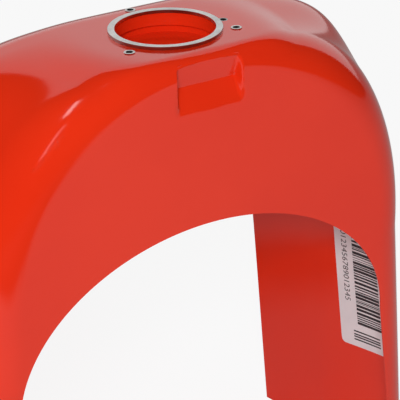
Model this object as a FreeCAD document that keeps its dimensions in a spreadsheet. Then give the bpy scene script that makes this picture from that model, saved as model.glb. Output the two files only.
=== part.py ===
import FreeCAD, Part
import Sketcher
import math
import os

# A welded steel motorcycle fuel tank, bare: painted outer skin with side skirts and a front arch,
# bottom pan, filler neck, latch recess and the small fittings that are welded to them.
# X is across the tank, Y runs from the front to the tail, Z is up. The origin is at the middle of
# the footprint, on the surface that the skirts and the tail stand on.

os.makedirs("parts", exist_ok=True)
V = FreeCAD.Vector
doc = FreeCAD.newDocument("FuelTank")

# ---------------------------------------------------------------- driving dimensions, in mm
SIZES = [
    ("tankLength", 470, "front face to tail face"),
    ("tankHeight", 350, "standing surface to the filler ring's face"),
    ("frontWidth", 150, "half width of the side wall at the front corner"),
    ("sideTaper", 0.21, "side wall narrows by this much for each mm towards the tail"),
    ("waistDepth", 180, "behind here the side wall narrows half as fast"),
    ("skirtFlare", 0.083, "side wall spreads by this much for each mm down, at the front"),
    ("wall", 1.2, "sheet steel thickness"),
    ("plateauTilt", 2.3, "top falls this many degrees towards the tail"),
    ("plateauEnd", 91, "depth where the flat top ends"),
    ("backSlope", 0.6, "fall of the back for each mm of depth"),
    ("backBlend", 16, "softness of the bend between the flat top and the back"),
    ("frontShoulder", 154, "height of the rounded shoulder at the front"),
    ("backShoulder", 45, "height of the rounded shoulder behind the filler"),
    ("shoulderReach", 84, "depth over which the shoulder tightens"),
    ("browRadius", 12, "rounding between the flat top and the front face"),
    ("cornerRadius", 27.5, "rounding between the front face and the sides"),
    ("tailRadius", 18, "rounding round the tail face"),
    ("fillerDepth", 51, "front face to the filler's axis"),
    ("ringOuter", 34, "filler ring, outer radius"),
    ("ringInner", 30, "filler ring, bore radius"),
    ("ringProud", 2, "filler ring above the flat top"),
    ("seatRadius", 48, "pressed filler seat, outer radius"),
    ("seatRim", 4.5, "depth of the seat's turned-down rim"),
    ("neckInner", 30.8, "filler neck, bore radius"),
    ("neckDepth", 10, "ring face to the lower rim of the neck"),
    ("splashDepth", 15, "ring face to the splash plate"),
    ("screwCircle", 83.5, "circle of the cap screws, diameter"),
    ("bushOuter", 3.3, "cap screw bush, outer radius"),
    ("bushBore", 2.1, "cap screw bush, tapping radius"),
    ("bushLength", 9, "cap screw bush"),
    ("bushProud", 0.5, "cap screw bush above the seat"),
    ("tubeCircle", 37.8, "radius at which the drain and breather leave the seat"),
    ("tubeOuter", 3, "drain and breather tube, outer radius"),
    ("tubeBore", 2, "drain and breather tube, bore radius"),
    ("tubeTail", 16, "tube below the bottom pan"),
    ("pocketHalf", 20, "latch recess, half width"),
    ("pocketLip", 3.1, "depth of the recess's upper lip"),
    ("pocketBrow", 3.7, "ring face down to the recess's upper lip"),
    ("pocketHeel", 6.5, "depth of the recess's deepest line"),
    ("pocketFold", 18.6, "ring face down to the recess's deepest line"),
    ("pocketDrop", 32.7, "ring face down to the recess's lower edge"),
    ("archHalf", 130, "front arch, half width"),
    ("archRise", 98, "front arch, height of its curve"),
    ("archCrown", 107, "ring face down to the top of the arch"),
    ("archFlare", 0.13, "arch leg spreads by this much for each mm down"),
    ("skirtTop", 182, "ring face down to the notch behind the skirt"),
    ("skirtBack", 148, "front face to the skirt's rear edge, at its top"),
    ("skirtLean", 12, "the skirt's rear edge comes forward by this much at the bottom"),
    ("notchRadius", 10, "corner between skirt and lower side edge"),
    ("panFront", 98, "ring face down to the pan behind the front face"),
    ("panStep", 40, "drop of the pan behind the arch space"),
    ("panKnee", 130, "front face to the pan's step"),
    ("panTail", 333, "ring face down to the pan near the tail"),
    ("baffleSheet", 1, "baffle thickness"),
    ("baffleHole", 16, "baffle window radius"),
    ("flangeSheet", 3, "tap and sender flange thickness"),
    ("tapOpening", 11, "fuel tap hole, radius"),
    ("tapHalf", 27, "tap flange, half length"),
    ("tapDeep", 15, "tap flange, half width"),
    ("tapStud", 17, "tap stud from the tap hole"),
    ("tapAside", 38, "tap hole from the middle, towards -X"),
    ("tapDepth", 235, "front face to the tap hole"),
    ("senderOpening", 26, "sender hole, radius"),
    ("senderCircle", 66, "circle of the sender studs, diameter"),
    ("senderAside", 24, "sender hole from the middle, towards +X"),
    ("senderDepth", 335, "front face to the sender hole"),
    ("studRadius", 3, "M6 stud"),
    ("studLength", 16, "stud below its flange"),
    ("cupRadius", 14, "front support cup, outer radius"),
    ("cupHeight", 11, "front support cup"),
    ("cupSpread", 70, "front support cups from the middle"),
    ("cupDepth", 42, "front face to the support cups"),
    ("bracketSheet", 3, "rear bracket thickness"),
    ("bracketHalf", 46, "rear bracket, half width"),
    ("bracketReach", 32, "tail face to the end of the rear bracket"),
    ("bracketLevel", 40, "rear bracket above the standing surface"),
    ("bracketDeep", 16, "half of the rear bracket shelf's depth"),
    ("bracketBolt", 28, "rear bolt from the middle"),
    ("grommetRim", 2, "thickness of a grommet lip"),
    ("grommetHole", 8, "rear bracket hole, radius"),
    ("grommetLip", 11, "rear grommet, outer radius"),
    ("sleeveOuter", 5.5, "rear sleeve, outer radius"),
    ("sleeveBore", 4.2, "rear sleeve, bore radius for an M8 bolt"),
    ("nutRadius", 8, "side weld nut, outer radius"),
    ("nutBore", 2.5, "side weld nut, tapping radius for M6"),
    ("nutHeight", 6, "side weld nut"),
    ("labelLength", 100, "paper label, long side"),
    ("labelWidth", 50, "paper label, short side"),
    ("labelSheet", 0.3, "paper label, with its glue"),
    ("labelFoot", 81, "label's lower edge above the standing surface"),
    ("labelBack", 64, "front face to the label's lower rear corner"),
    ("labelLean", 5, "label leans back by this many degrees"),
]
sheet = doc.addObject("Spreadsheet::Sheet", "Sizes")
for line, (alias, value, note) in enumerate(SIZES, 1):
    sheet.set("A%d" % line, note)
    sheet.set("B%d" % line, str(value))
    sheet.setAlias("B%d" % line, alias)
doc.recompute()


def size(alias):
    return float(sheet.get(alias))


frontY = -(size("tankLength") + size("bracketReach")) / 2
topZ = size("tankHeight")
wall = size("wall")
parts = []


def keep(obj, label):
    obj.Label = label
    parts.append(obj)
    return obj


def at(x, depth, drop):
    """A point given by its place across, its depth behind the front face and its drop below the ring face."""
    return V(x, frontY + depth, topZ - drop)


# ---------------------------------------------------------------- the pressed shape of the skin
SHOULDER_STEPS = 14       # points from the middle of the crown to the knee, where the side wall starts
FRONT_ROWS = 7
BODY_ROWS = 15
TAIL_ROWS = 5
FLATNESS = 2.85           # exponent across the crown: flat in the middle, falling at the shoulders
FRONT_ROUND, BACK_ROUND = 2.1, 2.7


def ease(depth):
    share = min(max(depth / size("shoulderReach"), 0), 1)
    return share * share * (3 - 2 * share)


def crownHeight(depth):
    plateau = topZ - size("ringProud")
    plateau -= math.tan(math.radians(size("plateauTilt"))) * (depth - size("fillerDepth"))
    past, soft = max(depth - size("plateauEnd"), 0), size("backBlend")
    return plateau - size("backSlope") * (math.hypot(past, soft) - soft)


def halfWidth(depth):
    narrowing = size("sideTaper") * (depth - 20)
    return size("frontWidth") - narrowing + size("sideTaper") / 2 * max(depth - size("waistDepth"), 0)


def kneeHeight(depth):
    front, back = size("frontShoulder"), size("backShoulder")
    return crownHeight(depth) - front - (back - front) * ease(depth)


def shoulderPoint(step, depth):
    """A point of the cross-section at this depth, from the crown (step 0) out to the knee."""
    angle = math.pi / 2 * step / SHOULDER_STEPS
    rounding = FRONT_ROUND + (BACK_ROUND - FRONT_ROUND) * ease(depth)
    across = halfWidth(depth) * math.sin(angle) ** (2 / FLATNESS)
    fall = 1 - max(math.cos(angle), 0) ** (2 / rounding)
    return across, crownHeight(depth) - (crownHeight(depth) - kneeHeight(depth)) * fall


def wallPoint(depth, height):
    """A point of the side wall below the knee."""
    flare = size("skirtFlare") * (1 - 0.6 * ease(depth))
    return halfWidth(depth) + flare * (kneeHeight(depth) - height), height


def onSide(side, depth, drop):
    """A point on the side wall, on the side that is -1 or 1, and the direction square to the wall there."""
    height = topZ - drop
    across = wallPoint(depth, height)[0]
    lean = wallPoint(depth - 1, height)[0] - wallPoint(depth + 1, height)[0]
    flare = wallPoint(depth, height - 1)[0] - wallPoint(depth, height + 1)[0]
    return at(side * across, depth, drop), V(2 * side, lean, flare).normalize()


def edgeRadius(step):
    share = min(shoulderPoint(step, 0)[0] / size("frontWidth") / 0.8, 1)
    return size("browRadius") + (size("cornerRadius") - size("browRadius")) * share * share * (3 - 2 * share)


def insetPoint(step, depth, inset):
    """The shoulder point moved inwards by inset, square to the cross-section's outline."""
    if step == 0:
        return 0, crownHeight(depth) - inset
    ax, az = shoulderPoint(step - 1, depth)
    bx, bz = shoulderPoint(step + 1, depth) if step < SHOULDER_STEPS else wallPoint(depth, 0)
    x, z = shoulderPoint(step, depth)
    if step == SHOULDER_STEPS:
        ax, az = x, z
    length = math.hypot(bx - ax, bz - az)
    return x + inset * (bz - az) / length, z - inset * (bx - ax) / length


def bodyRow(place, inset, floor):
    """Points across the tank and the wall's foot; place(step) gives each point's depth and further inset."""
    half = []
    for step in range(SHOULDER_STEPS + 1):
        depth, more = place(step)
        x, z = insetPoint(step, depth, inset + more)
        half.append(V(x, frontY + depth, z))
    foot = V(wallPoint(depth, floor)[0] - inset - more, frontY + depth, floor)
    return [V(-p.x, p.y, p.z) for p in reversed(half[1:])] + half, foot


def bodyRows(inset, floor):
    length, rounding = size("tankLength"), size("tailRadius")
    for row in range(FRONT_ROWS):
        turn = math.pi / 2 * (1 - row / FRONT_ROWS)
        yield bodyRow(lambda step: (edgeRadius(step) - (edgeRadius(step) - inset) * math.sin(turn),
                                    (edgeRadius(step) - inset) * (1 - math.cos(turn))), inset, floor)
    for row in range(BODY_ROWS + 1):
        share = row / BODY_ROWS
        yield bodyRow(lambda step: (edgeRadius(step) + (length - rounding - edgeRadius(step)) * share, 0),
                      inset, floor)
    for row in range(1, TAIL_ROWS + 1):
        turn = math.pi / 2 * row / TAIL_ROWS
        yield bodyRow(lambda step: (length - rounding + (rounding - inset) * math.sin(turn),
                                    (rounding - inset) * (1 - math.cos(turn))), inset, floor)


def mirrorX(shape):
    return shape.mirror(V(0, 0, 0), V(1, 0, 0))


def bodySolid(inset, floor):
    """The tank's outer form, or the same form moved inwards by inset, closed flat at floor."""
    rows, feet = zip(*bodyRows(inset, floor))
    crown = Part.BSplineSurface()
    crown.interpolate([list(row) for row in rows])
    front, tail, left, right = crown.bounds()
    footLine = Part.BSplineCurve()
    footLine.interpolate(list(feet))
    foot = footLine.toShape()
    faces = [crown.toShape(), Part.makeRuledSurface(crown.vIso(right).toShape(), foot),
             Part.makeRuledSurface(crown.vIso(left).toShape(), mirrorX(foot))]
    sills = []
    for end, row, point in ((front, rows[0], feet[0]), (tail, rows[-1], feet[-1])):
        other = V(-point.x, point.y, point.z)
        sills.append(Part.makeLine(point, other))
        edges = [crown.uIso(end).toShape(), Part.makeLine(row[-1], point), sills[-1],
                 Part.makeLine(other, row[0])]
        faces.append(Part.Face(Part.Wire(edges)))
    faces.append(Part.Face(Part.Wire(Part.__sortEdges__([foot, mirrorX(foot)] + sills))))
    shell = Part.makeShell(faces)
    shell.sewShape()
    solid = Part.makeSolid(shell)
    return solid if solid.Volume > 0 else Part.makeSolid(shell.reversed())


# ---------------------------------------------------------------- shapes shared by the pieces
def sideFace(points):
    """A face in the middle plane from (depth, drop) points."""
    corners = [at(0, depth, drop) for depth, drop in points]
    return Part.Face(Part.makePolygon(corners + corners[:1]))


def across(points, half):
    """The side-view outline carried across the tank to half on both sides."""
    face = sideFace(points)
    face.translate(V(-half, 0, 0))
    return face.extrude(V(2 * half, 0, 0))


def archPrism(depth):
    """The opening in the front face: half an ellipse on two spreading legs, cut this deep."""
    spring = topZ - size("archCrown") - size("archRise")
    foot = size("archHalf") + size("archFlare") * spring
    curve = Part.Ellipse(V(0, 0, 0), size("archHalf"), size("archRise"))
    crown = Part.ArcOfEllipse(curve, 0, math.pi).toShape()
    crown.Placement = FreeCAD.Placement(V(0, frontY, spring), FreeCAD.Rotation(V(1, 0, 0), 90))
    ends = [V(size("archHalf"), frontY, spring), V(foot, frontY, 0), V(foot, frontY, -wall)]
    ends += [V(-p.x, p.y, p.z) for p in reversed(ends)]
    wire = Part.Wire(Part.__sortEdges__([crown] + Part.makePolygon(ends).Edges))
    prism = Part.Face(wire).extrude(V(0, 2 * depth, 0))
    prism.translate(V(0, -depth, 0))
    return prism


def pocketOutline(grow):
    """Side view of the latch recess, open to the front, or the same grown by grow on its inner sides."""
    out = -2 * size("browRadius")
    lip, brow, heel = size("pocketLip"), size("pocketBrow"), size("pocketHeel")
    steep = (size("pocketDrop") - size("pocketFold")) / heel     # fall of the lower face for each mm forward
    back = (heel - lip) / (size("pocketFold") - brow)            # depth of the upper face for each mm down
    low = size("pocketDrop") + grow * math.hypot(1, steep)
    deep = lip + grow * math.hypot(1, back)
    fold = (low - steep * (deep - back * brow)) / (1 + steep * back)
    return [(out, brow - grow), (deep - back * grow, brow - grow), (deep + back * (fold - brow), fold),
            (out, low - steep * out)]


def pressedIn(label, shape):
    obj = doc.addObject("Part::Feature", label)
    obj.Shape = shape
    return keep(obj, label)


seatPlacement = FreeCAD.Placement(at(0, size("fillerDepth"), 0),
                                  FreeCAD.Rotation(V(1, 0, 0), -size("plateauTilt")))


def onSeat(angle, radius, height=0):
    """A place on the filler seat: angle from the front towards +X, radius from the filler's axis."""
    turn = math.radians(angle)
    return seatPlacement.multVec(V(radius * math.sin(turn), -radius * math.cos(turn), height))


def rod(base, radius, length, direction):
    return Part.makeCylinder(radius, length, base, direction)


seatUp = seatPlacement.Rotation.multVec(V(0, 0, 1))
BUSH_ANGLES = (60, 180, 300)
DRAIN_ANGLE, BREATHER_ANGLE = 84, 276
NUT_PLACES = ((235, 215), (335, 273))      # depth and drop of each side weld nut

# the pan, as (depth, drop) of its upper face
panStart = (0, size("panFront"))
panLine = [panStart, (size("panKnee"), size("panFront")),
           (size("panKnee") + size("panStep") / 2, size("panFront") + size("panStep") * 1.3),
           (size("tankLength"), size("panTail"))]
panAngle = math.degrees(math.atan2(panLine[3][1] - panLine[2][1], panLine[3][0] - panLine[2][0]))


def panDrop(depth):
    for (d0, z0), (d1, z1) in zip(panLine, panLine[1:]):
        if depth <= d1:
            return z0 + (z1 - z0) * (depth - d0) / (d1 - d0)
    return panLine[-1][1]


def underPan(x, depth):
    """A placement on the pan's lower face behind the step, its Z square to the sheet."""
    return FreeCAD.Placement(at(x, depth, panDrop(depth) + wall), FreeCAD.Rotation(V(1, 0, 0), -panAngle))


tapPlace = underPan(-size("tapAside"), size("tapDepth"))
senderPlace = underPan(size("senderAside"), size("senderDepth"))

# ---------------------------------------------------------------- skin, pan, baffles, recess
outer = bodySolid(0, 0)
inner = bodySolid(wall, -10)
farSide = 2 * size("frontWidth")

sideEdge = [(size("skirtBack") - size("skirtLean"), size("tankHeight") + 5),
            (size("skirtBack"), size("skirtTop")),
            (size("tankLength") - 30, size("tankHeight")), (size("tankLength") - 30, size("tankHeight") + 5)]
notch = across(sideEdge, farSide)
corner = [e for e in notch.Edges if abs(e.Length - 2 * farSide) < 1
          and abs(e.CenterOfMass.z - (topZ - size("skirtTop"))) < 1]
notch = notch.makeFillet(size("notchRadius"), corner)

pocketShell = across(pocketOutline(wall), size("pocketHalf") + wall)
pocketVoid = across(pocketOutline(0), size("pocketHalf"))
seatHole = rod(onSeat(0, 0, -20), size("seatRadius"), 40, seatUp)

skin = outer.cut(inner).cut(archPrism(size("cornerRadius") + 1)).cut(notch).cut(pocketShell).cut(seatHole)
for side in (-1, 1):
    for depth, drop in NUT_PLACES:
        spot, out = onSide(side, depth, drop)
        skin = skin.cut(rod(spot - out * size("nutHeight"), size("studRadius") + 0.3, 2 * size("nutHeight"), out))
# a left and a right pressing, welded along the middle
rightSpace = Part.makeBox(farSide, 2 * size("tankLength"), 2 * topZ, V(0, 2 * frontY, -topZ / 2))
pressedIn("outer_skin", skin.common(rightSpace).fuse(skin.common(mirrorX(rightSpace))))

pressedIn("latch_pocket", pocketShell.cut(pocketVoid).common(outer))

lower = [(d, z + wall) for d, z in reversed(panLine)]
pan = across(panLine + lower, farSide).common(inner)
openings = [rod(onSeat(a, size("tubeCircle"), -200), size("tubeOuter"), 200, seatUp)
            for a in (DRAIN_ANGLE, BREATHER_ANGLE)]
for place, radius in ((tapPlace, size("tapOpening")), (senderPlace, size("senderOpening"))):
    up = place.Rotation.multVec(V(0, 0, 1))
    openings.append(rod(place.multVec(V(0, 0, -10)), radius, 20, up))
for opening in openings:
    pan = pan.cut(opening)
pressedIn("bottom_pan", pan)

chamber = across(panLine + [(size("tankLength"), -10), (0, -10)], farSide).common(inner)


def baffle(label, depth):
    """A sheet across the chamber with three windows and cut corners for the fuel to pass."""
    slab = Part.makeBox(2 * farSide, size("baffleSheet"), 2 * topZ, at(-farSide, depth, 1.5 * topZ))
    plate = chamber.common(slab)
    box = plate.BoundBox
    for x in (-box.XLength / 4, 0, box.XLength / 4):
        middle = V(x, box.YMin - 5, (box.ZMin + box.ZMax) / 2 - abs(x) / 8)
        plate = plate.cut(rod(middle, size("baffleHole"), 20, V(0, 1, 0)))
    for x in (box.XMin, box.XMax):
        plate = plate.cut(rod(V(x, box.YMin - 5, box.ZMin), size("baffleHole"), 20, V(0, 1, 0)))
    pressedIn(label, plate)


baffle("baffle_front", size("panKnee") + 60)
baffle("baffle_rear", size("panKnee") + 165)


def sideNut(side, depth, drop):
    """A weld nut inside the side edge, square to the skin, its outer end following it."""
    spot, out = onSide(side, depth, drop)
    base = spot - out * (wall + size("nutHeight"))
    blank = rod(base, size("nutRadius"), wall + size("nutHeight"), out).common(inner)
    return blank.cut(rod(base - out, size("nutBore"), 3 * size("nutHeight"), out))


pressedIn("side_nuts", Part.makeCompound([sideNut(side, *place) for place in NUT_PLACES for side in (-1, 1)]))

lean = math.radians(size("labelLean"))
upwards = (math.sin(lean) * size("labelLength"), -math.cos(lean) * size("labelLength"))
forwards = (-math.cos(lean) * size("labelWidth"), -math.sin(lean) * size("labelWidth"))
foot = (size("labelBack"), size("tankHeight") - size("labelFoot"))
labelCorners = [foot, (foot[0] + upwards[0], foot[1] + upwards[1]),
                (foot[0] + upwards[0] + forwards[0], foot[1] + upwards[1] + forwards[1]),
                (foot[0] + forwards[0], foot[1] + forwards[1])]
labelArea = sideFace(labelCorners).extrude(V(farSide, 0, 0))
pressedIn("part_label", inner.cut(bodySolid(wall + size("labelSheet"), -10)).common(labelArea))


# ---------------------------------------------------------------- turned and drilled pieces
def amount(terms):
    """The value of a sum such as "neckInner + wall - 2", from the sheet."""
    total, sign = 0, 1
    for word in terms.split():
        if word in "+-":
            sign = -1 if word == "-" else 1
        else:
            total += sign * (size(word) if word[0].isalpha() else float(word))
    return total


def bind(obj, **sums):
    """Binds properties or constraints of an object to sums of sheet cells."""
    for name, terms in sums.items():
        words = ["Sizes." + word if word[0].isalpha() else word for word in terms.split()]
        obj.setExpression(name.replace("__", "."), " ".join(words))
    return obj


def cylinder(name, radius, height, low="0"):
    solid = doc.addObject("Part::Cylinder", name)
    return bind(solid, Radius=radius, Height=height, Placement__Base__z=low)


def tube(name, radius, bore, height, low="0", blind="0"):
    """An upright cylinder from low, with a bore from its top down to blind above its foot."""
    cut = doc.addObject("Part::Cut", name)
    cut.Base = cylinder(name + "Body", radius, height, low)
    start = low + " + " + blind if blind != "0" else low + " - 1"
    cut.Tool = cylinder(name + "Bore", bore, height + " + 2", start)
    return cut


def sketchOn(body, role, name):
    sketch = body.newObject("Sketcher::SketchObject", name)
    plane = [feature for feature in body.Origin.OriginFeatures if feature.Role == role][0]
    sketch.AttachmentSupport = [(plane, "")]
    sketch.MapMode = "FlatFace"
    return sketch


def fix(sketch, kind, line, end, terms):
    """Ties one end of a sketch line to a distance from the sketch's origin."""
    index = sketch.addConstraint(Sketcher.Constraint(kind, -1, 1, line, end, amount(terms)))
    bind(sketch, **{"Constraints[%d]" % index: terms})


def closedOutline(sketch, points):
    """A closed chain of lines through points whose coordinates are sums of sheet cells."""
    places = [V(amount(x), amount(y), 0) for x, y in points]
    for start, end in zip(places, places[1:] + places[:1]):
        sketch.addGeometry(Part.LineSegment(start, end))
    for line, (x, y) in enumerate(points):
        sketch.addConstraint(Sketcher.Constraint("Coincident", line - 1 if line else len(points) - 1, 2, line, 1))
        fix(sketch, "DistanceX", line, 1, x)
        fix(sketch, "DistanceY", line, 1, y)


def turned(label, points, placement=None):
    """A body of revolution about its Z axis; points are (radius, height)."""
    body = doc.addObject("PartDesign::Body", label)
    sketch = sketchOn(body, "XZ_Plane", label + "Profile")
    closedOutline(sketch, points)
    revolve = body.newObject("PartDesign::Revolution", label + "Turn")
    revolve.Profile = sketch
    revolve.ReferenceAxis = (sketch, ["V_Axis"])
    revolve.Angle = 360
    if placement:
        body.Placement = placement
    return body


def plate(label, halfX, halfY, thickness, holes, placement, role="XY_Plane"):
    """A rectangular plate about its origin with round holes at (x, y, radius)."""
    body = doc.addObject("PartDesign::Body", label)
    sketch = sketchOn(body, role, label + "Outline")
    closedOutline(sketch, [("0 - " + halfX, "0 - " + halfY), (halfX, "0 - " + halfY),
                           (halfX, halfY), ("0 - " + halfX, halfY)])
    for x, y, radius in holes:
        circle = sketch.addGeometry(Part.Circle(V(amount(x), amount(y), 0), V(0, 0, 1), amount(radius)))
        index = sketch.addConstraint(Sketcher.Constraint("Radius", circle, amount(radius)))
        bind(sketch, **{"Constraints[%d]" % index: radius})
        fix(sketch, "DistanceX", circle, 3, x)
        fix(sketch, "DistanceY", circle, 3, y)
    pad = body.newObject("PartDesign::Pad", label + "Sheet")
    pad.Profile = sketch
    bind(pad, Length=thickness)
    body.Placement = placement
    return body


def copies(label, piece, placements):
    """One node of several like solids: the piece repeated at each placement."""
    doc.recompute()
    shapes = []
    for placement in placements:
        shape = piece.Shape.copy()
        shape.Placement = placement.multiply(shape.Placement)
        shapes.append(shape)
    return pressedIn(label, Part.makeCompound(shapes))


def stand(x, depth, drop, turn=0):
    return FreeCAD.Placement(at(x, depth, drop), FreeCAD.Rotation(V(1, 0, 0), turn))


# filler: ring on the seat, neck through it, splash cup below
keep(turned("filler_ring", [("ringInner", "0"), ("ringOuter", "0"), ("ringOuter", "0 - ringProud"),
                            ("ringInner", "0 - ringProud")], seatPlacement), "filler_ring")
seatFoot = "0 - ringProud - wall"
keep(turned("filler_neck", [("neckInner", "0 - ringProud"), ("neckInner + wall", "0 - ringProud"),
                            ("neckInner + wall", "0 - neckDepth + wall"),
                            ("neckInner + wall + 1", "0 - neckDepth + wall"),
                            ("neckInner + wall + 1", "0 - neckDepth"), ("neckInner", "0 - neckDepth")],
            seatPlacement), "filler_neck")
seatBlank = turned("seatBlank", [("neckInner + wall", "0 - ringProud"), ("seatRadius", "0 - ringProud"),
                                 ("seatRadius", "0 - ringProud - seatRim"),
                                 ("seatRadius - wall", "0 - ringProud - seatRim"),
                                 ("seatRadius - wall", seatFoot), ("neckInner + wall", seatFoot)])
bushPlaces = [FreeCAD.Placement(onSeat(a, size("screwCircle") / 2), seatPlacement.Rotation) for a in BUSH_ANGLES]
tubePlaces = [FreeCAD.Placement(onSeat(a, size("tubeCircle")), seatPlacement.Rotation)
              for a in (DRAIN_ANGLE, BREATHER_ANGLE)]
doc.recompute()
seat = seatBlank.Shape.copy()
seat.Placement = seatPlacement.multiply(seat.Placement)
for place in bushPlaces:
    seat = seat.cut(rod(place.multVec(V(0, 0, -9)), size("bushOuter"), 12, seatUp))
seat = seat.cut(rod(tubePlaces[0].multVec(V(0, 0, -9)), size("tubeOuter"), 12, seatUp)).cut(pocketShell)
pressedIn("filler_seat", seat)

bush = tube("bush", "bushOuter", "bushBore", "bushLength", "bushProud - ringProud - bushLength", "2")
copies("cap_screw_bushes", bush, bushPlaces)

cupOuter = "neckInner + wall + 1.3"
cupBlank = turned("cupBlank", [("0", "0 - splashDepth"), (cupOuter, "0 - splashDepth"), (cupOuter, seatFoot),
                               (cupOuter + " + wall", seatFoot),
                               (cupOuter + " + wall", "0 - splashDepth - wall"),
                               ("0", "0 - splashDepth - wall")], seatPlacement)
dropHole = cylinder("dropHole", "ringInner - 15", "20")
dropHole.Placement = FreeCAD.Placement(onSeat(-20, size("ringInner") / 2, -size("splashDepth") - 10),
                                       seatPlacement.Rotation)
splashCup = doc.addObject("Part::Cut", "splash_cup")
splashCup.Base, splashCup.Tool = cupBlank, dropHole
keep(splashCup, "splash_cup")

drainTube = tube("drainTube", "tubeOuter", "tubeBore", "panFront + tubeTail - ringProud",
                 "0 - panFront - tubeTail")
copies("water_drain_tube", drainTube, tubePlaces[:1])
breather = tube("breather", "tubeOuter", "tubeBore", "panFront + tubeTail - ringProud - wall - 5",
                "0 - panFront - tubeTail")
copies("breather_tube", breather, tubePlaces[1:])

# under the pan: fuel tap flange, sender flange and their studs
tapFlange = plate("tap_flange", "tapHalf", "tapDeep", "flangeSheet", [("0", "0", "tapOpening")],
                  tapPlace.multiply(FreeCAD.Placement(V(0, 0, -size("flangeSheet")), FreeCAD.Rotation())))
keep(tapFlange, "tap_flange")
stud = cylinder("stud", "studRadius", "studLength", "0 - studLength - flangeSheet")
copies("tap_studs", stud, [tapPlace.multiply(FreeCAD.Placement(V(x, 0, 0), FreeCAD.Rotation()))
                           for x in (-size("tapStud"), size("tapStud"))])
senderFlange = tube("senderRing", "senderCircle - senderOpening", "senderOpening", "flangeSheet",
                    "0 - flangeSheet")
doc.recompute()
senderStuds = [senderPlace.multiply(FreeCAD.Placement(
    V(size("senderCircle") / 2 * math.cos(turn), size("senderCircle") / 2 * math.sin(turn), 0),
    FreeCAD.Rotation())) for turn in (math.pi / 4, 3 * math.pi / 4, 5 * math.pi / 4, 7 * math.pi / 4)]
copies("sender_flange", senderFlange, [senderPlace])
copies("sender_studs", stud, senderStuds)

# front supports: steel cups under the pan with rubber pads pressed into them
cupPlaces = [stand(x, size("cupDepth"), size("panFront") + wall) for x in (-size("cupSpread"), size("cupSpread"))]
cup = tube("cup", "cupRadius", "cupRadius - wall", "cupHeight", "0 - cupHeight")
copies("front_cups", cup, cupPlaces)
pad = cylinder("pad", "cupRadius - wall", "cupHeight + 7", "0 - cupHeight - 7")
copies("front_pads", pad, cupPlaces)

# rear bracket on the tail face, with rubber grommets and steel sleeves for the two bolts
shelf = plate("bracketShelf", "bracketHalf", "bracketDeep", "bracketSheet",
              [(x, "2", "grommetHole") for x in ("0 - bracketBolt", "bracketBolt")],
              stand(0, size("tankLength") + size("bracketReach") / 2, size("tankHeight") - size("bracketLevel")))
web = plate("bracketWeb", "bracketHalf", "bracketDeep", "bracketSheet", [],
            stand(0, size("tankLength") + size("bracketSheet"), size("tankHeight") - size("bracketLevel")
                  - size("bracketReach") / 2, 90))
bracket = doc.addObject("Part::Fuse", "rear_bracket")
bracket.Base, bracket.Tool = shelf, web
keep(bracket, "rear_bracket")
boltDepth = size("tankLength") + size("bracketReach") / 2 + 2
boltPlaces = [stand(x, boltDepth, size("tankHeight") - size("bracketLevel"))
              for x in (-size("bracketBolt"), size("bracketBolt"))]
grommet = turned("grommet", [("sleeveOuter", "0 - grommetRim"), ("grommetLip", "0 - grommetRim"),
                             ("grommetLip", "0"), ("grommetHole", "0"), ("grommetHole", "bracketSheet"),
                             ("grommetLip", "bracketSheet"), ("grommetLip", "bracketSheet + grommetRim"),
                             ("sleeveOuter", "bracketSheet + grommetRim")])
copies("rear_grommets", grommet, boltPlaces)
sleeve = tube("sleeve", "sleeveOuter", "sleeveBore", "bracketSheet + grommetRim + grommetRim + 1",
              "0 - grommetRim - 0.5")
copies("rear_sleeves", sleeve, boltPlaces)

# ---------------------------------------------------------------- check and write
doc.recompute()
for obj in doc.Objects:
    if "Invalid" in obj.State or "Error" in obj.State:
        raise RuntimeError("failed: " + obj.Label)
for obj in parts:
    if obj.Shape.isNull() or not obj.Shape.isValid() or not obj.Shape.Solids:
        raise RuntimeError("bad shape: " + obj.Label)
for obj in parts:
    obj.Shape.exportStep(os.path.join("parts", obj.Label + ".step"))
    print(obj.Label, len(obj.Shape.Solids), round(obj.Shape.Volume))
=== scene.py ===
import math
import bmesh
import bpy
import numpy as np
from mathutils import Matrix, Vector


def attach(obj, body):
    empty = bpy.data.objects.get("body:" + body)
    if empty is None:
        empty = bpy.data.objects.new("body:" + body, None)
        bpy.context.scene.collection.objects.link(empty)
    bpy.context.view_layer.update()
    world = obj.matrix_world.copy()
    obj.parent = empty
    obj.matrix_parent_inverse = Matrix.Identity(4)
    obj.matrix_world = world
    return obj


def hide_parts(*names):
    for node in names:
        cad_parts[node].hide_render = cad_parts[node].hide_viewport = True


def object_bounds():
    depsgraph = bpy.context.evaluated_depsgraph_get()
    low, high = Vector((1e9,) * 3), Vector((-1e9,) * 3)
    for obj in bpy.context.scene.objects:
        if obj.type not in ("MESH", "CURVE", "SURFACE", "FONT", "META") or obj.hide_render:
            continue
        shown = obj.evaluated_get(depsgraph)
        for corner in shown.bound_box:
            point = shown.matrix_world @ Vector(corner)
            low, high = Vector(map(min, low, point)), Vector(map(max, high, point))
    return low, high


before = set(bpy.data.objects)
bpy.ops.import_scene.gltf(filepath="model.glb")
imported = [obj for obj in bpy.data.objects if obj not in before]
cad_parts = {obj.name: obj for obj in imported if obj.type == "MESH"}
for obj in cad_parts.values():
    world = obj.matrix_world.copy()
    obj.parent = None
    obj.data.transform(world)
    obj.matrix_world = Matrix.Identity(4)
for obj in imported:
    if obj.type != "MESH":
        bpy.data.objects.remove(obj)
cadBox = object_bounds()
scene = bpy.context.scene
rng = np.random.default_rng(7)
print("frame loaded:", len(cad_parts), "nodes")

mm = 0.001
floorLevel = cadBox[0].z


def smooth(low, high, value):
    share = np.clip((np.asarray(value, float) - low) / (high - low), 0, 1)
    return share * share * (3 - 2 * share)


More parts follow.
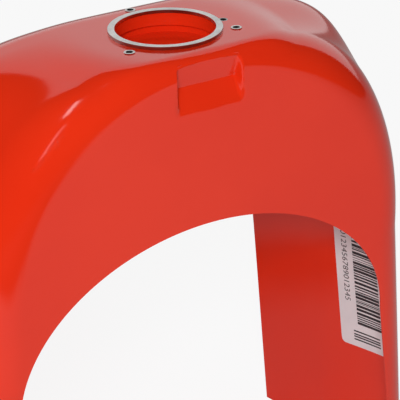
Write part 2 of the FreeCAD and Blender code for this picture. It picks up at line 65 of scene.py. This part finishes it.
# the pressed shape of the tank, in mm: depth runs back from the front face, height up from the floor
tank = dict(length=470, height=350, frontY=-251, frontWidth=150, sideTaper=0.21, waistDepth=180,
            skirtFlare=0.083, wall=1.2, tilt=2.3, plateauEnd=91, backSlope=0.6, backBlend=16,
            frontShoulder=154, backShoulder=45, shoulderReach=84, browRadius=12, cornerRadius=27.5,
            tailRadius=18, ringProud=2, fillerDepth=51, flatness=2.85, frontRound=2.1, backRound=2.7)
arch = dict(half=130, rise=98, spring=145, flare=0.13)
skirt = dict(top=168, back=148, lean=12, corner=10, tailFoot=440)
recess = dict(half=20, inner=0.8, outer=2.4, foot=32.7, heel=6.5, fold=18.6, lip=3.1, lipDrop=3.9)
seat = dict(flat=47, blend=80)
spacing = dict(fineEnd=93, end=133, body=134)    # depths over which the columns of the front are spaced


def ease(depth):
    return smooth(0, tank["shoulderReach"], depth)


def crownHeight(depth):
    level = tank["height"] - tank["ringProud"]
    level = level - math.tan(math.radians(tank["tilt"])) * (depth - tank["fillerDepth"])
    past = np.maximum(depth - tank["plateauEnd"], 0)
    return level - tank["backSlope"] * (np.hypot(past, tank["backBlend"]) - tank["backBlend"])


def halfWidth(depth):
    taper = tank["sideTaper"]
    return tank["frontWidth"] - taper * (depth - 20) + taper / 2 * np.maximum(depth - tank["waistDepth"], 0)


def kneeHeight(depth):
    front, back = tank["frontShoulder"], tank["backShoulder"]
    return crownHeight(depth) - front - (back - front) * ease(depth)


def shoulderAt(angle, depth):
    rounding = tank["frontRound"] + (tank["backRound"] - tank["frontRound"]) * ease(depth)
    x = halfWidth(depth) * np.sin(angle) ** (2 / tank["flatness"])
    fall = 1 - np.maximum(np.cos(angle), 0) ** (2 / rounding)
    return x, crownHeight(depth) - (crownHeight(depth) - kneeHeight(depth)) * fall


def wallX(depth, height):
    flare = tank["skirtFlare"] * (1 - 0.6 * ease(depth))
    return halfWidth(depth) + flare * (kneeHeight(depth) - height)


def lowEdge(depth):
    lean, back, top = skirt["lean"], skirt["back"], skirt["top"]
    rise = (depth - (back - lean)) * top / lean
    fall = top * (skirt["tailFoot"] - depth) / (skirt["tailFoot"] - back)
    gap = rise - fall
    soft = skirt["corner"] * 0.9
    peak = (rise + fall - np.sqrt(gap * gap + soft * soft * 4)) / 2
    return np.maximum(peak, 0)


def archX(height):
    up = np.clip((height - arch["spring"]) / arch["rise"], 0, 1)
    return np.where(height < arch["spring"], arch["half"] + arch["flare"] * (arch["spring"] - height),
                    arch["half"] * np.sqrt(1 - up * up))


# one column of the skin per entry: an angle round the shoulder, then shares down the side wall
nearX = np.concatenate([np.arange(0, 17, 2.0), np.arange(17, 23.6, 0.4), np.arange(25, 112, 2.2)])
crownAngles = np.arcsin((nearX / 152.1) ** (tank["flatness"] / 2))
crownAngles = np.concatenate([crownAngles, np.linspace(crownAngles[-1], math.pi / 2, 56)[1:]])
wallShares = np.linspace(0, 1, 62)[1:]
columns = [(a, 0.0) for a in crownAngles] + [(math.pi / 2, t) for t in wallShares]


def edgeRadius(angle):
    x, _ = shoulderAt(angle, 0.0)
    share = min(x / tank["frontWidth"] / 0.8, 1)
    return tank["browRadius"] + (tank["cornerRadius"] - tank["browRadius"]) * share * share * (3 - 2 * share)


def skinPoint(column, depth, inset):
    angle, down = column
    depth = np.asarray(depth, float)
    if down == 0:
        step = 0.004
        x, z = shoulderAt(angle, depth)
        if angle == 0:
            return 0 * depth, z - inset
        ax, az = shoulderAt(max(angle - step, 1e-4), depth)
        bx, bz = shoulderAt(min(angle + step, math.pi / 2), depth)
        length = np.hypot(bx - ax, bz - az)
        return x + inset * (bz - az) / length, z - inset * (bx - ax) / length
    knee = kneeHeight(depth)
    low = lowEdge(depth)
    z = knee + (low - knee) * down
    return wallX(depth, z) - inset, z - tank["skirtFlare"] * inset * (1 - down)


def frontPath(column, anchors):
    radius = edgeRadius(column[0])
    s = np.linspace(0, radius * math.pi / 2, 240)
    depth, inset = radius - radius * np.cos(s / radius), radius * (1 - np.sin(s / radius))
    x, z = skinPoint(column, depth, inset)
    qx, qz = float(x[0]), float(z[0])
    if qz > arch["spring"]:
        ray = np.array([qx, qz - arch["spring"]])
        scale = 1 / math.hypot(ray[0] / arch["half"], ray[1] / arch["rise"])
        ex, ez = ray[0] * scale, arch["spring"] + ray[1] * scale
    else:
        ex, ez = float(archX(qz)), qz
    flat = math.hypot(ex - qx, ez - qz)
    start = -flat
    if ex > qx:
        start = float(np.interp(0, (x - archX(z))[:160], s[:160]))
    end = radius * math.pi / 2
    near = 1 - float(smooth(28, 70, qx))
    centre = np.array([start] + [min(a, end) for a in anchors] + [end])
    even = start + (end - start) * np.array([0, 0.3, 0.5, 0.75, 1])
    knots = even + (centre - even) * near
    spans = zip(knots, knots[1:], frontRows)
    spots = np.concatenate([np.linspace(a, b, n, endpoint=False) for a, b, n in spans] + [[end]])
    rowDepth = np.where(spots > 0, np.interp(spots, s, depth), 0)
    px, pz = np.interp(spots, s, x), np.interp(spots, s, z)
    share = np.clip(-spots / max(flat, 1e-6), 0, 1)
    px = np.where(spots < 0, qx + (ex - qx) * share, px)
    pz = np.where(spots < 0, qz + (ez - qz) * share, pz)
    return px, rowDepth, pz, spots


frontRows = (24, 18, 18, 12)
browArc = tank["browRadius"] * math.acos(1 - recess["lip"] / tank["browRadius"])
footArc = -(recess["foot"] - tank["browRadius"])
recessPath = np.array([(0, recess["foot"]), (recess["heel"], recess["fold"]),
                       (recess["lip"], recess["lipDrop"])])
recessLong = np.concatenate([[0], np.cumsum(np.hypot(*np.diff(recessPath, axis=0).T))])
recessArcs = footArc + (browArc - footArc) * recessLong / recessLong[-1]
anchors = [footArc, recessArcs[1], browArc]
coarse = spacing["end"] - spacing["fineEnd"]
edgeDepths = np.concatenate([np.linspace(0, 1, 46) * spacing["fineEnd"],
                             spacing["fineEnd"] + np.linspace(0, 1, 14)[1:] * coarse])
backDepths = np.concatenate([np.linspace(spacing["body"], 162, 42), np.linspace(166, 452, 62)])


def skinRows(column):
    px, depth, pz, spots = frontPath(column, anchors)
    radius = edgeRadius(column[0])
    behind = radius + (spacing["body"] - radius) * edgeDepths[1:-1] / spacing["end"]
    body = np.concatenate([behind, backDepths])
    bx, bz = skinPoint(column, body, 0.0)
    turn = np.linspace(0, math.pi / 2, 9)[1:]
    tailDepth = tank["length"] - tank["tailRadius"] * (1 - np.sin(turn))
    tx, tz = skinPoint(column, tailDepth, tank["tailRadius"] * (1 - np.cos(turn)))
    shut = np.array([0.5, 1.0])
    x = np.concatenate([px, bx, tx, tx[-1] * (1 - shut)])
    z = np.concatenate([pz, bz, tz, tz[-1] + 0 * shut])
    d = np.concatenate([depth, body, tailDepth, tank["length"] + 0 * shut])
    arc = np.concatenate([spots, np.full(len(x) - len(spots), 999.0)])
    return np.stack([x, d, z, arc], -1)


half = np.array([skinRows(c) for c in columns])           # columns x rows x (x, depth, height, arc)
print("skin grid", half.shape[:2])


def browDrop(depth):
    r = tank["browRadius"]
    inner = np.clip(r - depth, 0, r)
    return r - np.sqrt(r * r - inner * inner)


# the flat round the filler, faded into the crown
across, depth, height, arc = (half[..., i].copy() for i in range(4))
away = np.hypot(across, depth - tank["fillerDepth"])
level = crownHeight(depth) - browDrop(depth)
lift = (1 - smooth(seat["flat"], seat["blend"], away)) * smooth(1.5, 9, depth)
height = height + (level - height) * lift

# the latch recess, pressed in below the brow
along = (arc - footArc) / (browArc - footArc) * recessLong[-1]
inDepth = np.interp(along, recessLong, recessPath[:, 0])
inHeight = tank["height"] - np.interp(along, recessLong, recessPath[:, 1])
press = 1 - smooth(recess["half"] - recess["inner"], recess["half"] + recess["outer"], across)
press = press * ((arc > footArc) & (arc < browArc))
depth = depth + (inDepth - depth) * press
height = height + (inHeight - height) * press
grid = np.stack([across, tank["frontY"] + depth, height], -1)
grid = np.concatenate([grid[:0:-1] * np.array([-1, 1, 1]), grid])


def gridMesh(name, points):
    rows, cols = points.shape[:2]
    mesh = bpy.data.meshes.new(name)
    index = np.arange(rows * cols).reshape(rows, cols)
    faces = np.stack([index[:-1, :-1], index[:-1, 1:], index[1:, 1:], index[1:, :-1]], -1).reshape(-1, 4)
    mesh.from_pydata((points.reshape(-1, 3) * mm).tolist(), [], faces.tolist())
    return mesh


def addObject(name, mesh, material=None):
    obj = bpy.data.objects.new(name, mesh)
    scene.collection.objects.link(obj)
    if material:
        mesh.materials.append(material)
    return obj


def shadeSmooth(obj, sharp):
    mesh = obj.data
    mesh.polygons.foreach_set("use_smooth", [True] * len(mesh.polygons))
    work = bmesh.new()
    work.from_mesh(mesh)
    for edge in work.edges:
        edge.smooth = len(edge.link_faces) < 2 or edge.calc_face_angle(0) < math.radians(sharp)
    work.to_mesh(mesh)
    work.free()


def bake(obj):
    graph = bpy.context.evaluated_depsgraph_get()
    made = bpy.data.meshes.new_from_object(obj.evaluated_get(graph))
    old = obj.data
    obj.modifiers.clear()
    obj.data = made
    made.name = old.name
    bpy.data.meshes.remove(old)


# finishes
def newMaterial(name):
    material = bpy.data.materials.new(name)
    material.use_nodes = True
    nodes, links = material.node_tree.nodes, material.node_tree.links
    return material, nodes, links, nodes["Principled BSDF"]


def noise(nodes, links, scale, detail=3, rough=0.5, coords=None):
    node = nodes.new("ShaderNodeTexNoise")
    node.inputs["Scale"].default_value = scale
    node.inputs["Detail"].default_value = detail
    node.inputs["Roughness"].default_value = rough
    if coords is None:
        coords = nodes.new("ShaderNodeTexCoord").outputs["Object"]
    links.new(coords, node.inputs["Vector"])
    return node


def ramp(nodes, links, source, low, high, start=0.35, stop=0.65):
    node = nodes.new("ShaderNodeMapRange")
    node.inputs["From Min"].default_value, node.inputs["From Max"].default_value = start, stop
    node.inputs["To Min"].default_value, node.inputs["To Max"].default_value = low, high
    links.new(source, node.inputs["Value"])
    return node.outputs["Result"]


def blendColours(nodes, links, share, first, second):
    node = nodes.new("ShaderNodeMix")
    node.data_type = "RGBA"
    node.inputs["A"].default_value, node.inputs["B"].default_value = (*first, 1), (*second, 1)
    links.new(share, node.inputs["Factor"])
    return node.outputs["Result"]


def mottle(nodes, links, shader, source, first, second):
    share = ramp(nodes, links, source.outputs["Fac"], 0, 1)
    links.new(blendColours(nodes, links, share, first, second), shader.inputs["Base Color"])


def varyRough(nodes, links, shader, source, low, high):
    links.new(ramp(nodes, links, source.outputs["Fac"], low, high), shader.inputs["Roughness"])


def bump(nodes, links, source, distance, strength):
    node = nodes.new("ShaderNodeBump")
    node.inputs["Distance"].default_value = distance
    node.inputs["Strength"].default_value = strength
    links.new(source, node.inputs["Height"])
    return node.outputs["Normal"]


paint = dict(colour=(0.78, 0.030, 0.006), deeper=(0.74, 0.025, 0.005), rough=0.42,
             coatRough=0.10, peel=420, peelHeight=0.00002)


def redPaint():
    material, nodes, links, shader = newMaterial("redPaint")
    cloud = noise(nodes, links, 9, 4)
    mottle(nodes, links, shader, cloud, paint["colour"], paint["deeper"])
    grain = noise(nodes, links, 1400, 2)
    varyRough(nodes, links, shader, grain, paint["rough"] - 0.04, paint["rough"] + 0.04)
    peel = noise(nodes, links, paint["peel"], 1)
    skinNormal = bump(nodes, links, peel.outputs["Fac"], paint["peelHeight"], 0.35)
    links.new(skinNormal, shader.inputs["Coat Normal"])
    shader.inputs["Specular IOR Level"].default_value = 0.0
    shader.inputs["Coat Weight"].default_value = 1.0
    shader.inputs["Coat Roughness"].default_value = paint["coatRough"]
    shader.inputs["Coat IOR"].default_value = 1.5
    return material


steel = dict(colour=(0.60, 0.59, 0.575), darker=(0.47, 0.46, 0.45), rough=0.34)


def bareSteel(name, values=None, turned=None):
    values = {**steel, **(values or {})}
    material, nodes, links, shader = newMaterial(name)
    coords = nodes.new("ShaderNodeTexCoord").outputs["Object"]
    cloud = noise(nodes, links, 60, 5, 0.6, coords)
    mottle(nodes, links, shader, cloud, values["colour"], values["darker"])
    fine = noise(nodes, links, 900, 3, 0.6, coords)
    varyRough(nodes, links, shader, fine, values["rough"] - 0.08, values["rough"] + 0.12)
    height = fine.outputs["Fac"]
    if turned:
        away = nodes.new("ShaderNodeVectorMath")
        away.operation = "DISTANCE"
        away.inputs[1].default_value = turned
        links.new(coords, away.inputs[0])
        rings = nodes.new("ShaderNodeTexNoise")
        rings.noise_dimensions = "1D"
        rings.inputs["Scale"].default_value = 2600
        links.new(away.outputs["Value"], rings.inputs["W"])
        height = rings.outputs["Fac"]
    links.new(bump(nodes, links, height, 0.00004, 0.35), shader.inputs["Normal"])
    shader.inputs["Metallic"].default_value = 1.0
    return material


rubber = dict(colour=(0.022, 0.022, 0.023), worn=(0.045, 0.044, 0.043), rough=0.72)


def blackRubber():
    material, nodes, links, shader = newMaterial("blackRubber")
    cloud = noise(nodes, links, 120, 4)
    mottle(nodes, links, shader, cloud, rubber["colour"], rubber["worn"])
    grain = noise(nodes, links, 2200, 3)
    varyRough(nodes, links, shader, grain, rubber["rough"] - 0.08, rubber["rough"] + 0.1)
    links.new(bump(nodes, links, grain.outputs["Fac"], 0.00008, 0.4), shader.inputs["Normal"])
    return material


paperFinish = dict(colour=(0.78, 0.74, 0.755), shade=(0.72, 0.68, 0.70), rough=0.55)


def labelPaper():
    material, nodes, links, shader = newMaterial("labelPaper")
    cloud = noise(nodes, links, 45, 5)
    mottle(nodes, links, shader, cloud, paperFinish["colour"], paperFinish["shade"])
    fibre = noise(nodes, links, 1800, 4, 0.7)
    varyRough(nodes, links, shader, fibre, paperFinish["rough"] - 0.06, paperFinish["rough"] + 0.08)
    links.new(bump(nodes, links, fibre.outputs["Fac"], 0.00003, 0.3), shader.inputs["Normal"])
    shader.inputs["Specular IOR Level"].default_value = 0.3
    return material


def printInk():
    material, nodes, links, shader = newMaterial("printInk")
    cloud = noise(nodes, links, 500, 3)
    mottle(nodes, links, shader, cloud, (0.012, 0.010, 0.012), (0.03, 0.026, 0.03))
    shader.inputs["Roughness"].default_value = 0.5
    return material


filler = Vector((0, (tank["frontY"] + tank["fillerDepth"]) * mm, tank["height"] * mm))
seatUp = Vector((0, math.sin(math.radians(tank["tilt"])), math.cos(math.radians(tank["tilt"]))))
ringLook = dict(colour=(0.60, 0.60, 0.585), rough=0.36)
plainLook = dict(colour=(0.44, 0.43, 0.42), darker=(0.33, 0.32, 0.31), rough=0.45)
zincLook = dict(colour=(0.66, 0.66, 0.63), darker=(0.52, 0.52, 0.50), rough=0.3)
finishes = {"redPaint": redPaint(), "ringSteel": bareSteel("ringSteel", ringLook, filler),
            "plainSteel": bareSteel("plainSteel", plainLook),
            "zincPlate": bareSteel("zincPlate", zincLook),
            "blackRubber": blackRubber(), "labelPaper": labelPaper(), "printInk": printInk()}
print("finishes made")

# the skin with its recess and filler seat
skin = addObject("tank_skin", gridMesh("tank_skin", grid))
work = bmesh.new()
work.from_mesh(skin.data)
bmesh.ops.remove_doubles(work, verts=work.verts, dist=2e-6)
bmesh.ops.dissolve_degenerate(work, edges=work.edges, dist=1e-6)
bmesh.ops.recalc_face_normals(work, faces=work.faces)
work.to_mesh(skin.data)
work.free()
thicken = skin.modifiers.new("sheet", "SOLIDIFY")
thicken.thickness, thicken.offset = tank["wall"] * mm, -1
bake(skin)
drill = dict(neck=32.0, bushCircle=41.75, bush=3.3, drain=3.0, drainCircle=37.8, nut=3.3,
             nutPlaces=((235, 135), (335, 77)), bushAngles=(60, 180, 300), drainAngle=84)


def rodInto(work, centre, axis, radius, length, sides):
    place = Matrix.Translation(centre) @ Vector(axis).to_track_quat("Z", "Y").to_matrix().to_4x4()
    bmesh.ops.create_cone(work, cap_ends=True, segments=sides, radius1=radius, radius2=radius,
                          depth=length, matrix=place)


def onSeat(angle, radius, rise=0.0):
    turn = math.radians(angle)
    forward = Vector((1, 0, 0)).cross(seatUp)
    aside = Vector((radius * mm * math.sin(turn), 0, 0))
    return filler + aside + forward * (radius * mm * math.cos(turn)) + seatUp * rise * mm


work = bmesh.new()
rodInto(work, filler, seatUp, drill["neck"] * mm, 0.03, 160)
for angle in drill["bushAngles"]:
    rodInto(work, onSeat(angle, drill["bushCircle"]), seatUp, drill["bush"] * mm, 0.03, 32)
rodInto(work, onSeat(drill["drainAngle"], drill["drainCircle"]), seatUp, drill["drain"] * mm, 0.03, 32)
for depthAt, heightAt in drill["nutPlaces"]:
    for side in (-1, 1):
        spot = (side * 0.11, (tank["frontY"] + depthAt) * mm, heightAt * mm)
        rodInto(work, spot, (1, 0, 0), drill["nut"] * mm, 0.06, 32)
drillMesh = bpy.data.meshes.new("drill")
work.to_mesh(drillMesh)
work.free()
drillBody = bpy.data.objects.new("drill", drillMesh)
scene.collection.objects.link(drillBody)
cut = skin.modifiers.new("holes", "BOOLEAN")
cut.operation, cut.solver, cut.object = "DIFFERENCE", "EXACT", drillBody
bake(skin)
bpy.data.objects.remove(drillBody)
skin.data.materials.clear()
skin.data.materials.append(finishes["redPaint"])
shadeSmooth(skin, 32)
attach(skin, "root")
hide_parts("outer_skin", "latch_pocket", "filler_seat")
print("skin made:", len(skin.data.vertices), "points")

# the paper label and its print, on the inside of the skirt
label = dict(length=100, width=50, foot=81, back=64, lean=5, corner=3.5, sheet=0.3)


def labelPoint(u, v, rise):
    lean = math.radians(label["lean"])
    depth = label["back"] + v * math.sin(lean) - u * math.cos(lean)
    height = label["foot"] + v * math.cos(lean) + u * math.sin(lean)
    radius = tank["cornerRadius"] - tank["wall"]
    x = wallX(depth, height) - tank["wall"]
    into = np.clip((tank["cornerRadius"] - depth) / radius, 0, 0.98)
    x = x - radius * (1 - np.sqrt(1 - into * into))
    return x - rise, depth, height


us, vs = np.linspace(0, label["width"], 36), np.linspace(0, label["length"], 50)
u, v = np.meshgrid(us, vs, indexing="ij")
r = label["corner"]
cu, cv = np.clip(u, r, label["width"] - r), np.clip(v, r, label["length"] - r)
du, dv = u - cu, v - cv
stretch = np.maximum(np.abs(du), np.abs(dv)) / np.maximum(np.hypot(du, dv), 1e-6)
both = (np.abs(du) > 0) & (np.abs(dv) > 0)
u, v = np.where(both, cu + du * stretch, u), np.where(both, cv + dv * stretch, v)
x, d, z = labelPoint(u, v, label["sheet"])
paperMesh = gridMesh("label_sheet", np.stack([x, tank["frontY"] + d, z], -1))
paper = addObject("label_sheet", paperMesh, finishes["labelPaper"])
thicken = paper.modifiers.new("sheet", "SOLIDIFY")
thicken.thickness, thicken.offset = 0.00025, 1
bake(paper)
shadeSmooth(paper, 40)
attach(paper, "root")
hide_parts("part_label")

ink = dict(bars=(15, 36), barTop=88, barFoot=18, digits="0123456789012345", digitTall=6.6)
strips = []
place = ink["barTop"]
while place > ink["barFoot"]:
    thick = float(rng.choice([0.5, 0.9, 1.4, 2.0]))
    strips.append((ink["bars"][0], ink["bars"][1], place - thick, place))
    place -= thick + float(rng.choice([0.5, 0.8, 1.2]))
for place in (93.5, 91.4, 89.6):
    strips.append((5, 13, place, place + 0.9))
for place in (11.5, 9.0, 7.2, 5.0):
    strips.append((11, 34, place, place + 1.1))
work = bmesh.new()
for u0, u1, v0, v1 in strips:
    steps = np.linspace(u0, u1, 10)
    lower = [labelPoint(np.float64(a), np.float64(v0), label["sheet"] + 0.04) for a in steps]
    upper = [labelPoint(np.float64(a), np.float64(v1), label["sheet"] + 0.04) for a in steps]
    low = [work.verts.new((x * mm, (tank["frontY"] + d) * mm, z * mm)) for x, d, z in lower]
    high = [work.verts.new((x * mm, (tank["frontY"] + d) * mm, z * mm)) for x, d, z in upper]
    for i in range(len(steps) - 1):
        work.faces.new((low[i], low[i + 1], high[i + 1], high[i]))
inkMesh = bpy.data.meshes.new("label_print")
work.to_mesh(inkMesh)
work.free()
text = bpy.data.curves.new("digits", "FONT")
text.body, text.size, text.space_character = ink["digits"], ink["digitTall"], 1.02
writer = bpy.data.objects.new("digits", text)
scene.collection.objects.link(writer)
bpy.context.view_layer.update()
flatText = bpy.data.meshes.new_from_object(writer.evaluated_get(bpy.context.evaluated_depsgraph_get()))
bpy.data.objects.remove(writer)
for point in flatText.vertices:
    aside, along = np.float64(5.8 + point.co.y), np.float64(ink["barTop"] - point.co.x)
    x, d, z = labelPoint(aside, along, label["sheet"] + 0.04)
    point.co = (x * mm, (tank["frontY"] + d) * mm, z * mm)
work = bmesh.new()
work.from_mesh(inkMesh)
work.from_mesh(flatText)
bmesh.ops.recalc_face_normals(work, faces=work.faces)
for face in work.faces:
    if face.normal.x > 0:
        face.normal_flip()
work.to_mesh(inkMesh)
work.free()
bpy.data.meshes.remove(flatText)
inkMesh.materials.clear()
inkPiece = addObject("label_print", inkMesh, finishes["printInk"])
inkMesh.polygons.foreach_set("material_index", [0] * len(inkMesh.polygons))
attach(inkPiece, "root")
print("label made")

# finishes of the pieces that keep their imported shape
carried = {"filler_ring": "ringSteel", "cap_screw_bushes": "ringSteel", "filler_neck": "redPaint",
           "splash_cup": "redPaint", "bottom_pan": "redPaint", "rear_bracket": "redPaint",
           "front_cups": "redPaint", "baffle_front": "plainSteel", "baffle_rear": "plainSteel",
           "water_drain_tube": "plainSteel", "breather_tube": "plainSteel", "side_nuts": "zincPlate",
           "tap_flange": "zincPlate", "tap_studs": "zincPlate", "sender_flange": "zincPlate",
           "sender_studs": "zincPlate", "rear_sleeves": "zincPlate", "front_pads": "blackRubber",
           "rear_grommets": "blackRubber"}
for name, finish in carried.items():
    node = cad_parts[name]
    node.data.materials.clear()
    node.data.materials.append(finishes[finish])
    node.data.polygons.foreach_set("material_index", [0] * len(node.data.polygons))
print("finishes given to", len(carried), "nodes")

# camera, light and floor
view = dict(place=(-0.5266, -1.0967, 0.7669), right=(0.852, -0.524, 0.0),
            back=(-0.466, -0.759, 0.455), lens=171, sensor=36, near=0.05, far=60)
lens = bpy.data.cameras.new("camera")
lens.lens, lens.sensor_width = view["lens"], view["sensor"]
lens.clip_start, lens.clip_end = view["near"], view["far"]
camera = bpy.data.objects.new("camera", lens)
right = Vector(view["right"]).normalized()
back = Vector(view["back"]).normalized()
up = back.cross(right).normalized()
right = up.cross(back)
camera.matrix_world = Matrix.Translation(view["place"]) @ Matrix((right, up, back)).transposed().to_4x4()
scene.collection.objects.link(camera)
scene.camera = camera

world = bpy.data.worlds.new("studio")
scene.world = world
world.use_nodes = True
wNodes, wLinks = world.node_tree.nodes, world.node_tree.links
wNodes.clear()
room = dict(diffuse=0.25)
output = wNodes.new("ShaderNodeOutputWorld")
shown = wNodes.new("ShaderNodeBackground")
shown.inputs["Color"].default_value, shown.inputs["Strength"].default_value = (1, 1, 1, 1), 1.0
lit = wNodes.new("ShaderNodeBackground")
lit.inputs["Color"].default_value, lit.inputs["Strength"].default_value = (1, 0.99, 0.98, 1), room["diffuse"]
path = wNodes.new("ShaderNodeLightPath")
first = wNodes.new("ShaderNodeMath")
second = wNodes.new("ShaderNodeMath")
first.operation = second.operation = "MAXIMUM"
wLinks.new(path.outputs["Is Camera Ray"], first.inputs[0])
wLinks.new(path.outputs["Is Glossy Ray"], first.inputs[1])
wLinks.new(first.outputs[0], second.inputs[0])
wLinks.new(path.outputs["Is Transmission Ray"], second.inputs[1])
both = wNodes.new("ShaderNodeMixShader")
wLinks.new(second.outputs[0], both.inputs[0])
wLinks.new(lit.outputs[0], both.inputs[1])
wLinks.new(shown.outputs[0], both.inputs[2])
wLinks.new(both.outputs[0], output.inputs["Surface"])


def lamp(name, place, target, width, tall, power):
    light = bpy.data.lights.new(name, "AREA")
    light.shape, light.size, light.size_y, light.energy = "RECTANGLE", width, tall, power
    obj = bpy.data.objects.new(name, light)
    obj.location = place
    obj.rotation_euler = (Vector(target) - Vector(place)).to_track_quat("-Z", "Y").to_euler()
    scene.collection.objects.link(obj)
    return obj


strip = dict(turn=35)    # degrees that the narrow lamp is turned about its own axis
key = lamp("keyLight", (-1.47, -2.25, 1.75), (0, -0.15, 0.2), 0.7, 0.7, 58)
key.visible_glossy = False
stripLight = lamp("stripLight", (-0.79, -0.52, 2.13), (-0.08, -0.24, 0.335), 0.10, 0.62, 1.6)
stripLight.rotation_euler.rotate_axis("Z", math.radians(strip["turn"]))
tailLight = lamp("tailLight", (-1.10, -1.39, 1.55), (-0.098, -0.243, 0.318), 0.08, 0.7, 0.5)
print("lights set")


def stageSheet(name, corners, material, **seen):
    mesh = bpy.data.meshes.new(name)
    mesh.from_pydata(corners, [], [tuple(range(len(corners)))])
    obj = addObject(name, mesh, material)
    for kind, value in seen.items():
        setattr(obj, "visible_" + kind, value)
    return obj


def floorFinish():
    material, nodes, links, shader = newMaterial("paleFloor")
    cloud = noise(nodes, links, 3, 3)
    mottle(nodes, links, shader, cloud, (0.86, 0.86, 0.86), (0.84, 0.84, 0.84))
    shader.inputs["Roughness"].default_value = 0.7
    shader.inputs["Specular IOR Level"].default_value = 0.0
    light = nodes.new("ShaderNodeLightPath")
    white = nodes.new("ShaderNodeEmission")
    white.inputs["Strength"].default_value = 1.0
    mixer = nodes.new("ShaderNodeMixShader")
    share = nodes.new("ShaderNodeMath")
    share.operation = "MULTIPLY"
    share.inputs[1].default_value = 0.9
    links.new(light.outputs["Is Camera Ray"], share.inputs[0])
    links.new(share.outputs[0], mixer.inputs[0])
    links.new(shader.outputs[0], mixer.inputs[1])
    links.new(white.outputs[0], mixer.inputs[2])
    links.new(mixer.outputs[0], nodes["Material Output"].inputs["Surface"])
    return material


# painted shade: a dark finish for sheets that only reflections show, in place of the unlit room
def paintedShadeFinish():
    material, nodes, links, shader = newMaterial("darkRoom")
    cloud = noise(nodes, links, 2, 2)
    mottle(nodes, links, shader, cloud, (0.03, 0.03, 0.03), (0.04, 0.04, 0.04))
    shader.inputs["Roughness"].default_value = 0.9
    shader.inputs["Specular IOR Level"].default_value = 0.0
    return material


# painted shade: the same dark finish, fading to clear, for the gloss-only sheet laid over the floor
def paintedShadeFadeFinish():
    material, nodes, links, shader = newMaterial("fadeRoom")
    share = nodes.new("ShaderNodeAttribute")
    share.attribute_name = "fade"
    clear = nodes.new("ShaderNodeBsdfTransparent")
    mixer = nodes.new("ShaderNodeMixShader")
    shader.inputs["Base Color"].default_value = (0.03, 0.03, 0.03, 1)
    shader.inputs["Specular IOR Level"].default_value = 0.0
    links.new(share.outputs["Fac"], mixer.inputs[0])
    links.new(clear.outputs[0], mixer.inputs[1])
    links.new(shader.outputs[0], mixer.inputs[2])
    links.new(mixer.outputs[0], nodes["Material Output"].inputs["Surface"])
    return material


wide = 12
pale, dark = floorFinish(), paintedShadeFinish()
floorCorners = [(x, y, floorLevel) for x, y in ((-wide, -wide), (wide, -wide), (wide, wide), (-wide, wide))]
stageSheet("floor", floorCorners, pale)

# painted reflected shade: dark sheets seen only in the gloss, standing in for the unlit side of the studio:
# the floor past the white sheet, a wall, a ceiling and two wings
unseen = dict(camera=False, diffuse=False, shadow=False, transmission=False)
past, far = floorLevel + 0.004, 6
near = ((-far, -0.70), (-0.13, -0.69), (0.03, -0.66), (0.24, -0.93), (0.55, -1.5), (1.3, -1.9), (far, -2.0))
deep = ((-far, -0.80), (-0.20, -0.79), (-0.03, -0.84), (0.11, -1.08), (0.35, -1.9), (1.1, -2.6), (far, -2.8))
fadeMesh = bpy.data.meshes.new("darkFloor")
fadeMesh.from_pydata([(x, y, past) for x, y in near + deep] + [(x, -far, past) for x, y in deep], [],
                     [(r + i, r + i + 1, r + 8 + i, r + 7 + i) for r in (0, 7) for i in range(6)])
fadeMesh.attributes.new("fade", "FLOAT", "POINT").data.foreach_set("value", [0.0] * 7 + [1.0] * 14)
fadeFloor = addObject("darkFloor", fadeMesh, paintedShadeFadeFinish())
for kind, value in unseen.items():
    setattr(fadeFloor, "visible_" + kind, value)
stageSheet("darkWall", [(-4, -4, floorLevel), (4, -4, floorLevel), (4, -4, 4), (-4, -4, 4)], dark, **unseen)
ceiling = ((-4, -4), (4, -4), (4, 0.5), (2.2, 0.55), (1.2, 1.6), (0, 2.9), (-4, 2.9))
stageSheet("darkCeiling", [(x, y, 4) for x, y in ceiling], dark, **unseen)
for name, side, end in (("darkWingLeft", -4, 2.9), ("darkWingRight", 4, 0.5)):
    corners = [(side, -4, floorLevel), (side, end, floorLevel), (side, end, 4), (side, -4, 4)]
    stageSheet(name, corners, dark, **unseen)

scene.view_settings.view_transform = "Standard"
print("scene ready")
